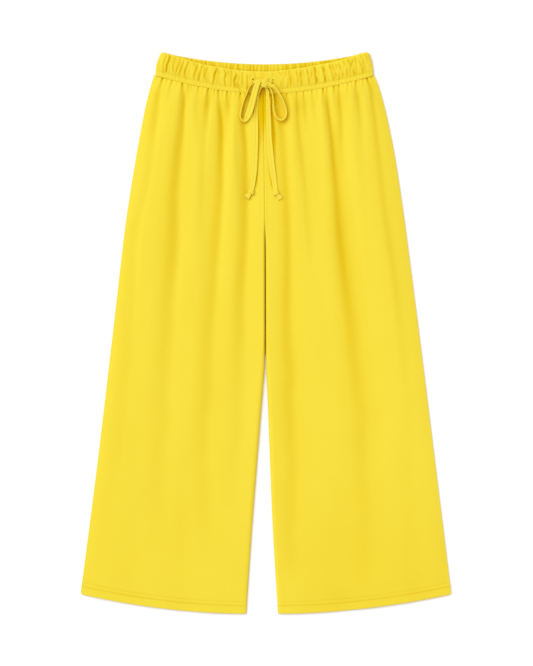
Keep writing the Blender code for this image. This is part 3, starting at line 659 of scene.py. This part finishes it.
def backLeg(side):
    x, y, inward = grid(side, backSeam, leg["backColumns"], leg["backRows"])
    low = backFurrow(side, x, y)
    fromSide, fromInner, fromHem = inset(side, x, y, inward)
    drop = backSeam(x) - y
    shut = ramp((y + 46) / 8)
    apart = (innerX("r", y) + innerX("l", y)) / 2 - innerX(side, y) + (-0.02 if side == "r" else 0.02)
    x = x + apart * shut * inward ** 12  # the back seam stays shut down to the crotch
    edge = np.minimum(np.minimum(fromSide, fromInner), np.minimum(fromHem, drop))
    pleats = 0.5 * gatherSum(x, drop)
    low = low + pleats * ramp(fromSide / 8) * ramp(drop / 2)
    lift = 0.35 * (1 - rollOver(edge, 1.6))
    line = sum(bell(fromHem - row, leg["rowHalf"]) for row in leg["stitchRows"]) * 0.2
    under = np.maximum(low + lift + line, 0)
    top = np.minimum(low + leg["wall"], leg["lift"] + backFurrow(side, x, y) - 0.25)
    # painted shade: in the furrows on the underside, and on top dark brown near the inner edge, where the
    # cloth shows through the slit between the legs
    shade = np.clip(low * 0.16, 0, 0.5)
    piece = shell("backLeg_" + side, stack(x, y, np.maximum(top, under + 0.3)), stack(x, y, under),
                  0.1 + 0.9 * bell(fromInner, 5) * shut, shade, jersey)
    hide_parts("leg_back_" + side)
    return piece


for side in "rl":
    frontLeg(side)
    backLeg(side)
print("legs laid")


band = {
    "front": 3.4, "wall": 2.6, "columns": 860, "rows": 46, "channel": 8, "puff": 2.6, "endRoll": 14,
    "topRoll": 3, "lowRoll": 0.6, "creaseHalf": 0.9, "creaseShade": 0.21, "rippleShade": 0.12,
    "eyelets": ((-22.6, 441.4, 3.2, 7.6), (12.2, 440.8, 2.2, 6.6)), "slitDepth": 2.6, "rim": 0.5,
    "underBowShade": 0.74, "cordShade": 0.26,  # painted shade on the cloth below the bow and beside the drawstring
    "backHeight": 38, "backColumns": 460, "backRows": 30,
}
frontCreases = (
    # stations up each crease: share of the casing's height, x, depth
    ((.19, -179, .7), (.25, -178.4, 1.1), (.48, -178.4, .9), (.65, -177.1, 1.1), (.85, -174.2, .8)),
    ((.22, -174.2, .9), (.28, -173.7, 2), (.54, -172.1, 2.2), (.69, -169.6, 2), (.92, -166.5, 1.8)),
    ((.25, -159, .4), (.35, -160.9, .9), (.55, -161.2, 1), (.76, -159, .9), (.87, -158.4, .7)),
    ((.19, -157.7, .3), (.26, -157.1, .7), (.5, -154.6, .8), (.73, -150.2, .7), (.91, -149, .6)),
    ((.26, -151.7, .8), (.46, -148.4, .9), (.71, -145.2, 1.2), (.9, -142.5, .8)),
    ((.17, -139.6, .9), (.31, -140.9, 1.3), (.51, -140.2, 1.7), (.72, -137.1, 1.3), (.9, -134.6, 1.1)),
    ((.77, -122.7, .2), (.84, -123.7, .8), (.95, -125.2, .7)),
    ((.23, -124.6, .4), (.29, -125, 1.1), (.47, -124, 1.4), (.66, -121.5, 1.3), (.87, -119.2, 1.1)),
    ((.24, -116.5, 1.1), (.48, -115.2, 1.5), (.67, -113, 1.4), (.9, -110.5, 1.3)),
    ((.29, -107.7, .4), (.78, -107.1, .4)),
    ((.25, -102.1, .3), (.34, -104, .9), (.48, -105.9, 1), (.66, -104, 1.1), (.85, -101.7, 1.1)),
    ((.17, -92.5, .9), (.39, -90.2, 1.8), (.59, -89.6, 2), (.74, -87.5, 2.2), (.9, -84.6, 1.3)),
    ((.66, -80.5, .1), (.73, -80.9, .8), (.91, -81.7, .7)),
    ((.18, -69.6, .7), (.31, -70.5, 1.5), (.49, -71.5, 1.5), (.71, -69.6, 1.7), (.89, -72.1, .9)),
    ((.64, -65, .1), (.72, -65.2, .6), (.87, -65.5, .4)),
    ((.26, -60.2, .7), (.51, -59.7, .8), (.7, -59.2, .8), (.9, -59, .9)),
    ((.19, -52.1, 1.1), (.31, -53.4, 2), (.46, -55, 1.8), (.62, -53, 2.2), (.77, -50.2, 1.5)),
    ((-.04, -43.4, 1.3), (.11, -45, 1.5), (.25, -47.1, 1.3), (.39, -49, 1.1)),
    ((.34, -40.2, .6), (.66, -40.2, .7), (.86, -40.2, .6)),
    ((.14, -32.1, 1.1), (.24, -31.2, 1.5), (.43, -31.5, 1.3), (.61, -31.7, .9), (.76, -31.2, 1.1)),
    ((.6, -26.7, .4), (.76, -27.1, .7)), ((.66, -17.1, .6), (.94, -18.4, .4)),
    ((.73, -7.7, .3), (.93, -7.7, .3)), ((.67, -4.2, .4), (.9, -4.2, .3)),
    ((.77, 12.6, .6), (.93, 12, .4)), ((.72, 27.6, .2), (.82, 26, .8), (.93, 22.6, .7)),
    ((.81, 28.9, .4), (.93, 30.8, .7)), ((.76, 36.4, .7), (.87, 34.5, .8)),
    ((.34, 33.3, .7), (.5, 30.8, .7), (.65, 32, .7), (.84, 30.8, .4)),
    ((.26, 43.9, .4), (.37, 44.8, 1.1), (.47, 44.5, 1.5), (.74, 43.3, .6), (.9, 41.4, .7)),
    ((.21, 37.6, .7), (.33, 39.5, .9), (.57, 40.1, .4)),
    ((.19, 30.8, .7), (.32, 28.3, 1), (.48, 27.6, .7)),
    ((.64, 57, .4), (.74, 55.1, 1.2), (.86, 53.9, 1.1)),
    ((.2, 63.3, .4), (.32, 63.3, 1.1), (.57, 61.8, 1.3), (.69, 61.4, 1.8), (.87, 61.4, .9)),
    ((.68, 63.9, .7), (.82, 65.1, .9)), ((.37, 57.3, .8), (.55, 57, .7)),
    ((.18, 77.6, .4), (.27, 76.8, 1.3), (.42, 76, 2), (.57, 75.1, .9), (.72, 74.5, 1.5),
     (.88, 72.6, 1.1)),
    ((.54, 68.3, .3), (.72, 68.3, .4)),
    ((.2, 88.9, .7), (.28, 89.3, 2), (.43, 88.9, 2.2), (.58, 87.3, 1.1), (.73, 87.3, 2),
     (.88, 85.5, 1.8)),
    ((.44, 79.5, .4), (.61, 80.8, .7), (.75, 81.4, .7)),
    ((.19, 104.8, .9), (.31, 104.5, 2), (.46, 103.9, 1.3), (.61, 102, .9), (.73, 101.8, 2),
     (.85, 99.5, 1.3)),
    ((.56, 93.3, .4), (.7, 93.3, .3)),
    ((.2, 120.8, .4), (.29, 119.5, 1.1), (.45, 117, 1.1), (.64, 115.8, .9), (.73, 113.9, 1.8),
     (.86, 112, 1.3)),
    ((.68, 118.9, .4), (.74, 118.3, .9), (.87, 116.4, .9)),
    ((.61, 131.4, .7), (.7, 130.8, 1.1), (.83, 127.6, .9)), ((.67, 125.8, .4), (.8, 124.5, .7)),
    ((.35, 125.1, .7), (.45, 123.3, .7)), ((.19, 128.9, .7), (.27, 129.5, 1.1), (.45, 128.3, .4)),
    ((.29, 136.4, .4), (.35, 135.8, 1.3), (.48, 133.9, .7)),
    ((.72, 140.1, .7), (.8, 138.3, 1.1), (.94, 134.5, .7)),
    ((.66, 149.5, .7), (.76, 147, 1.1), (.92, 144.5, 1.1)),
    ((.25, 143.3, .4), (.3, 143.3, 1.3), (.42, 142.6, 1.3), (.54, 142.3, .9)),
    ((.55, 148.3, .4), (.73, 151.4, .9), (.8, 152.6, 1.1)),
    ((.65, 158.9, .7), (.73, 158, 1.1), (.88, 156.4, 1.3)), ((.27, 148.3, .4), (.45, 147.6, .4)),
    ((.2, 157, .7), (.28, 155.8, 1.5), (.43, 154.5, .9)), ((.23, 160.1, .4), (.51, 158.9, .4)),
    ((.54, 167.6, .7), (.69, 164.5, .7), (.82, 161.4, .4)),
    ((.21, 171.4, .7), (.28, 170.5, 1.3), (.39, 169.5, 1.5), (.54, 168.3, .7)),
    ((.22, 174.5, .4), (.34, 173.9, .8), (.48, 173.3, .9), (.69, 170.8, .9), (.9, 166.4, .7)),
    ((.59, 180.1, .4), (.76, 178.3, .7), (.92, 174.5, .7)), ((.73, 182.6, .4), (.9, 179.5, .4)),
)
rng = np.random.default_rng(11)
backStarts = np.arange(-178, 178, 6.3)
backCreases = tuple(
    ((0, at + rng.uniform(-1.2, 1.2), deep), (0.5, at * 0.985 + rng.uniform(-1.4, 1.4), deep),
     (1, at * 0.957 + rng.uniform(-1.2, 1.2), deep * rng.uniform(0.6, 1.1)))
    for at, deep in zip(backStarts + rng.uniform(-1.6, 1.6, len(backStarts)),
                        rng.uniform(0.5, 1.6, len(backStarts))))


def bandPlace(across, share, seam, top):  # across from end to end, share from the seam to the top
    lowX = mix(*waist["lowEnds"], across)
    highX = mix(*waist["highEnds"], across)
    endward = np.abs(across * 2 - 1) ** 24
    x = mix(lowX, highX, mix(share, share ** waist["sidePower"], endward))
    fromEnd = np.minimum(highX - waist["highEnds"][0], waist["highEnds"][1] - highX)
    inside = np.clip(waist["corner"] - fromEnd, 0, waist["corner"])
    drop = waist["corner"] - np.sqrt(waist["corner"] ** 2 - inside**2)
    y = mix(seam(lowX), top(highX) - drop, share)
    return x, y, lowX, highX


def creaseSum(creases, x, share):  # valleys of the pleats, and the lips beside them
    valley, lip = np.zeros_like(x), np.zeros_like(x)
    for stations in creases:
        depth = 1.25 * np.maximum(readTable(stations, share, 2), 0) ** 0.8
        depth = depth * ramp((share - stations[0][0]) / 0.12 + 0.8)
        depth = depth * ramp((stations[-1][0] - share) / 0.12 + 0.9)
        off, half = x - readTable(stations, share, 1), band["creaseHalf"]
        valley += depth * (0.42 * bell(off, half) + 0.58 * bell(off, 2.8 * half))
        lip += 0.3 * depth * bell(np.abs(off) - 3.2, 1.5)
    return valley, lip


def frontBandHeight(across, share):  # places of the front casing's outer face, and the painted shade on it
    x, y, lowX, highX = bandPlace(across, share, frontSeam, frontTop)
    height = frontTop(highX) - frontSeam(lowX)
    up = share * height
    valley, lip = creaseSum(frontCreases, x, share)
    above = ramp((up - band["channel"] + 0.6) / 5)  # 0 on the sewn channel, 1 on the gathered casing
    fromEnd = np.minimum(lowX - waist["lowEnds"][0], waist["lowEnds"][1] - lowX)
    fine = np.sin(lowX / 0.95 + np.sin(lowX / 9)) * (0.55 + 0.45 * np.sin(lowX / 6.5 + 1))
    finest = np.sin(lowX / 0.62 + up / 1.1 + 2 * np.sin(lowX / 17)) * np.sin(up / 1.6 + lowX / 5.3)
    pucker = 0.26 * fine + 0.3 * finest
    bulge = np.sin(np.clip(up / band["channel"], 0, 1) * math.pi)
    channel = 0.55 + 0.3 * bulge + pucker * (0.35 + 0.65 * bulge) - np.minimum(valley, 1.2) * 0.7
    near = bell(x + 5, 34, 4)  # the casing is flatter round the bow
    swell = band["puff"] * mix(1, 0.62, near) * (0.55 + 0.45 * np.sin((share - 0.2) * math.pi / 0.8))
    narrow = np.sin(x / 1.15 + 2.2 * np.sin(x / 13) + share * 2 * np.sin(x / 7))
    narrow = narrow * (0.6 + 0.4 * np.sin(x / 9 + 1))
    wide = np.sin(x / 2.9 + 1.5 * np.sin(x / 19) + share * 2)
    ripple = (0.22 * narrow + 0.26 * wide) * mix(1, 0.35, near)
    body = mix(channel, swell - np.minimum(valley, swell + 0.3) + lip + ripple, above)
    rows = 0.22 * bell(up - band["channel"], 0.8) + 0.1 * bell(up - 1, 0.8)
    crown = rollOver(height - up, band["topRoll"]) * rollOver(fromEnd, band["endRoll"], 0.7)
    low = mix(rollOver(up, band["lowRoll"]), 1, 0.85)
    thick = band["wall"] * mix(0.25, 1, crown) * mix(0.55, 1, low)
    slit = eyeletMask(x, y, 0)
    rim = np.clip(eyeletMask(x, y, 1.1) - slit, 0, 1)
    z = band["front"] + thick + (body - rows) * crown * low + rim * band["rim"] - slit * band["slitDepth"]
    # painted shade: below the bow knot, over the gathered pillows, in the creases, the stitch rows and the
    # buttonholes; the ripples painted lighter and darker, the raised rims a little lighter
    underBowShade = band["underBowShade"] * bell(x + 6.5, 7.5, 4) * ramp((433.5 - y) / 4)
    pillowShade = 0.05 * above * (1 + np.sin(x / 4.1 + 2 * np.sin(x / 17) + share * 3)) + 0.04 * (1 - above)
    shade = valley * band["creaseShade"] - ripple * band["rippleShade"] * above + 0.1 * rows + pillowShade
    shade = np.maximum(shade, underBowShade) + slit * (0.55 + 0.4 * (x < 0)) - rim * 0.1
    return x, y - valley * above * 0.45 * ramp((share - 0.7) / 0.3), z, np.clip(shade, 0, 1)


def eyeletMask(x, y, grow):  # 1 inside the two buttonholes for the drawstring
    total = np.zeros_like(x)
    for atX, atY, wide, tall in band["eyelets"]:
        u, v = np.abs(x - atX) / (wide / 2 + grow), np.abs(y - atY) / (tall / 2 + grow)
        total = np.maximum(total, ramp((1 - u ** 3 - v ** 3) * 2.4))
    return total


def bandGrid(columns, rows):
    across = columnPlaces(columns, 0.25)
    middle = np.linspace(0.08, 0.9, rows - 14, endpoint=False)
    share = np.concatenate([np.linspace(0, 0.08, 6, endpoint=False), middle, np.linspace(0.9, 1, 8)])
    return np.meshgrid(across, share)


def frontBand():
    across, share = bandGrid(band["columns"], band["rows"])
    x, y, z, shade = frontBandHeight(across, share)
    fromEnd = (1 - np.abs(across * 2 - 1)) * waist["lowEnds"][1]
    under = np.minimum(band["front"] + 0.15 - 0.6 * (1 - rollOver(fromEnd, 6)), z - 0.35)
    # painted shadow beside the drawstring on the casing
    piece = shell("waistbandFront", stack(x, y, z), stack(x, y, under),
                  np.clip(shade + band["cordShade"] * cordShadowMask(x, y), 0, 1), shade * 0, casing)
    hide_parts("waistband_front")
    return piece


def backBand():
    across, share = bandGrid(band["backColumns"], band["backRows"])
    x, y = bandPlace(across, share, backSeam, backTop)[:2]
    valley, lip = creaseSum(backCreases, x, share)
    up = share * band["backHeight"]
    fromEnd = (1 - np.abs(across * 2 - 1)) * waist["lowEnds"][1]
    crown = rollOver(band["backHeight"] - up, 2.6) * rollOver(fromEnd, 3)
    rows = bell(up - band["channel"], 0.9) + bell(up - 1, 0.8)
    top = 1.3 + (1.35 + lip * 0.5 - np.minimum(valley, 1.2)) * crown - 0.3 * rows
    under = np.clip(valley * 0.8 * ramp(up / 6 - 0.2) + 0.4 * rows, 0, 1) + 0.9 * (1 - crown)
    # painted shade in the creases, and a painted shadow along the front casing's top edge
    shade = np.clip(valley * 0.3, 0, 0.8)
    y = y - valley * 0.45 * ramp((share - 0.75) / 0.25)
    piece = shell("waistbandBack", stack(x, y, top), stack(x, y, np.minimum(under, top - 0.3)),
                  np.clip(shade + 0.02 + 0.2 * np.exp(-(y - frontTop(x)) / 2.5), 0, 0.95),
                  shade, casing)
    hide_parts("waistband_back")
    return piece


bands = {"front": frontBand(), "back": backBand()}
print("waistband gathered")


def tubeFaces(levels, turns, start=0):
    ids = np.arange(levels * turns).reshape(levels, turns) + start
    following = np.roll(ids, -1, axis=1)
    quads = np.stack([ids[:-1], ids[1:], following[1:], following[:-1]], -1).reshape(-1, 4).tolist()
    return quads + [ids[0].tolist(), ids[-1, ::-1].tolist()]


def joinTubes(name, tubes, material):  # closed tubes, each with its rings of points and their shade
    points, faces, shades, start = [], [], [], 0
    for rings, shade in tubes:
        levels, turns = rings.shape[:2]
        faces += tubeFaces(levels, turns, start)
        points.append(rings.reshape(-1, 3) * mm)
        shades.append(np.tile(shade, levels))
        start += levels * turns
    return addObject(name, np.concatenate(points), faces, material, np.concatenate(shades))


stitch = {"length": 2.5, "pitch": 3.2, "radius": 0.24, "sides": 6, "proud": 0.12}
stitchProfile = (
    # share of the stitch's length, girth, rise
    (0, 0.05, -0.2), (0.12, 0.8, 0), (0.5, 1, 0.14), (0.88, 0.8, 0), (1, 0.05, -0.2),
)


def stitchRow(points):  # threads laid end to end along points
    steps = np.linalg.norm(np.diff(points, axis=0), axis=1)
    run = np.concatenate([[0], np.cumsum(steps)])
    starts = np.arange(stitch["pitch"] / 2, run[-1] - stitch["length"], stitch["pitch"])
    first, last = (np.stack([np.interp(at, run, points[:, k]) for k in range(3)], -1)
                   for at in (starts, starts + stitch["length"]))
    way = unit(last - first)
    side = unit(np.cross(way, (0, 0, 1)))
    lift = np.cross(side, way)
    turns = -np.arange(stitch["sides"]) * math.tau / stitch["sides"]  # the faces point inwards
    circle = side[:, None] * np.cos(turns)[:, None] + lift[:, None] * np.sin(turns)[:, None]
    rings = [(mix(first, last, share) + lift * rise)[:, None] + circle * stitch["radius"] * girth
             for share, girth, rise in stitchProfile]
    return [(one, np.zeros(len(turns))) for one in np.stack(rings, 1)]


def hemRows():
    rows = []
    for side in "rl":
        inward = np.linspace(0.012, 0.988, 260)
        for above in leg["stitchRows"]:
            y = hemY(inward) + above
            x = mix(outerX(side, y), innerX(side, y), inward)
            z = frontHeight(side, x, y, inward)[0]
            rows += stitchRow(np.stack([x, y, z + stitch["proud"]], -1))
    return rows


def bandRows():
    across = np.linspace(0.012, 0.988, 900)
    lowX, highX = mix(*waist["lowEnds"], across), mix(*waist["highEnds"], across)
    rows = []
    for up in (1, band["channel"]):
        x, y, z = frontBandHeight(across, up / (frontTop(highX) - frontSeam(lowX)))[:3]
        rows += stitchRow(np.stack([x, y, z + stitch["proud"]], -1))
    return rows


joinTubes("hemStitching", hemRows(), thread)
joinTubes("waistStitching", bandRows(), thread)
print("stitching sewn")


def tapeSection(width, thick, groove):  # outline of the flat tape, with a crease along its middle
    half, deep = width / 2, thick / 2
    halfTop = [(1, 0.35), (0.95, 0.85), (0.72, 1), (0.38, 0.96), (0.14, 0.8 - groove * 0.3)]
    top = halfTop + [(0, 0.66 - groove)] + [(-x, z) for x, z in halfTop[::-1]]
    outline = [(x * half, z * deep) for x, z in top] + [(-x * half, -z * deep) for x, z in top]
    # painted shade in the middle crease and at the edges, and more on the under half
    shade = [0.03, 0, 0, 0, 0.03, 0.09, 0.03, 0, 0, 0, 0.03]
    return np.array(outline), np.array(shade + [0.08] * len(shade))


def sweep(route, outline):  # a tape along a route of x, y, z, roll and width share
    points, roll, share = route[:, :3], -np.radians(route[:, 3]), route[:, 4]
    way = unit(np.gradient(points, axis=0))
    side = unit(np.cross(way, (0, 0, 1)))
    lift = np.cross(side, way)
    c, s = np.cos(roll)[:, None], np.sin(roll)[:, None]
    turnedSide, turnedLift = side * c + lift * s, lift * c - side * s
    offsets = (turnedSide[:, None] * outline[:, :1] * share[:, None, None]
               + turnedLift[:, None] * outline[:, 1:] * np.sqrt(share)[:, None, None])
    return points[:, None] + offsets


def drawstringSide(side):
    into, outOf = throughKnot[side]
    x, y, z = leadRoute[side][0][:3]
    hidden = ((x - (0.6 if side == "r" else -0.6), y, z - 2.2, 0, .6),)  # its end, inside the casing
    rows = hidden + leadRoute[side] + into + loopRoute[side] + outOf + tailRoute[side]
    route = smoothRoute(rows, cord["steps"])
    outline, shade = tapeSection(cord["width"], cord["thick"], cord["groove"])
    shaded = (route[:, 2] < 10) * cord["loopShade"][side] * bell(route[:, 1] - 388, 13)  # painted shadow where the tail lies under the loop
    piece = addObject("drawstring_" + side, sweep(route, outline).reshape(-1, 3) * mm,
                      tubeFaces(len(route), len(outline)), tape,
                      np.tile(shade, len(route)) + np.repeat(shaded, len(outline)))
    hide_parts("cord_lead_" + side, "cord_loop_" + side, "cord_tail_" + side)
    return piece, route


def wrapTube(centre, radii, tilt, lean, width, thick, groove, count=44):  # a turn of tape round a knot
    turns = np.linspace(0, math.tau, count)
    ring = np.stack([np.cos(turns) * radii[0], np.zeros_like(turns), np.sin(turns) * radii[1]], -1)
    lay = Matrix.Rotation(math.radians(tilt), 3, "Z") @ Matrix.Rotation(math.radians(lean), 3, "X")
    outward = ring @ np.array(lay).T
    points = outward + centre
    way = unit(np.gradient(points, axis=0))
    outward = unit(outward - way * np.sum(outward * way, axis=1, keepdims=True))
    side = np.cross(way, outward)
    outline, shade = tapeSection(width, thick, groove)
    rings = points[:, None] + side[:, None] * outline[:, :1] + outward[:, None] * outline[:, 1:]
    return rings, shade


def lump(centre, size, shade, rings=12, turns=18):  # a rounded core for a knot
    levels = np.linspace(-1, 1, rings + 2)[1:-1] * 0.96
    angle = np.arange(turns) * math.tau / turns
    girth = (1 - np.abs(levels) ** 2.4) ** (1 / 2.4)
    x, z = girth[:, None] * np.cos(angle), girth[:, None] * np.sin(angle)
    y = np.repeat(levels[:, None], turns, axis=1)
    return np.stack([x, y, z], -1) * np.array(size) / 2 + np.array(centre), np.full(turns, shade)


bow = {
    "centre": (-2.6, 436.2, 12.6), "core": ((0, -0.3, -0.5), (11.6, 15, 9)), "shade": 0.25,
    "wraps": (
        # offset, radii, tilt, lean, width, thickness, groove
        ((0.4, 0.2, 0.3), (6.1, 5.2), 36, 12, 7.6, 2.2, 0.35),
        ((-0.2, -4, -0.4), (5.6, 4.6), -20, -8, 6, 2, 0.3),
        ((0.8, 4.6, -0.3), (5.4, 4.6), 14, 4, 5.6, 2, 0.3),
    ),
}


def bowKnot():
    centre = np.array(bow["centre"])
    offset, size = bow["core"]
    tubes = [lump(centre + offset, size, bow["shade"])]
    tubes += [wrapTube(centre + offset, *wrap) for offset, *wrap in bow["wraps"]]
    piece = joinTubes("bowKnot", tubes, tape)
    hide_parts("bow_knot")
    return piece


tip = {
    "core": (9.8, 7.2, 6.6), "start": 2, "length": 11.2, "sag": 0.8, "half": (2.5, 5.2), "wave": 0.42,
    "fray": 0.35, "across": 13, "along": 12,
    "wraps": (
        # offset, radii, tilt besides the end's own, lean, width, thickness, groove
        ((0, 0.5, 0), (4.6, 2.9), 10, 5, 5.4, 1.3, 0.12),
        ((-0.1, -1.6, -0.2), (4.2, 2.6), -16, -5, 4.2, 1.2, 0.12),
    ),
}


def tipFlare(place, way):  # the cut end of the tape, which spreads out, curls a little and frays
    along = np.array([math.cos(way), math.sin(way), 0])
    up = np.array([0, 0, 1])
    across = np.cross(up, along)
    us = np.linspace(1, -1, tip["across"])
    rings = []
    for share in np.linspace(0, 1, tip["along"]):
        centre = place + along * (tip["start"] + tip["length"] * share) - up * tip["sag"] * share ** 1.3
        half = mix(*tip["half"], share ** 0.8)
        for face in (1, -1):
            for u in us * face:
                curl = tip["wave"] * math.sin(u * 9 + 0.8) * share
                fray = tip["fray"] * math.sin(u * 23) * share ** 3
                rise = face * (1 - 0.2 * u * u) + curl
                rings.append(centre + across * u * half + along * fray + up * rise)
    # painted shade following the curl of the cut end, darker at its edges and on its under face
    shade = 0.035 * (1 + np.sin(us * 9 - 0.8))
    shade[[0, -1]] = 0.2
    return np.array(rings).reshape(tip["along"], -1, 3), np.concatenate([shade, np.full(len(us), 0.34)])


def tipPiece(side):
    place, heading = tipKnots[side]
    place, lean = np.array(place), (heading - 270) / 2
    tubes = [lump(place, tip["core"], 0)]
    for offset, radii, tilt, *wrap in tip["wraps"]:
        tubes.append(wrapTube(place + offset, radii, lean + tilt, *wrap))
    tubes.append(tipFlare(place, math.radians(heading)))
    piece = joinTubes("tipKnot_" + side, tubes, tape)
    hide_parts("tip_knot_" + side)
    return piece


knot = bowKnot()
tips = {side: tipPiece(side) for side in "rl"}
for side in "rl":
    piece, route = drawstringSide(side)
    path = route[:, :3] * mm
    float(np.linalg.norm(np.diff(path, axis=0), axis=1).sum())
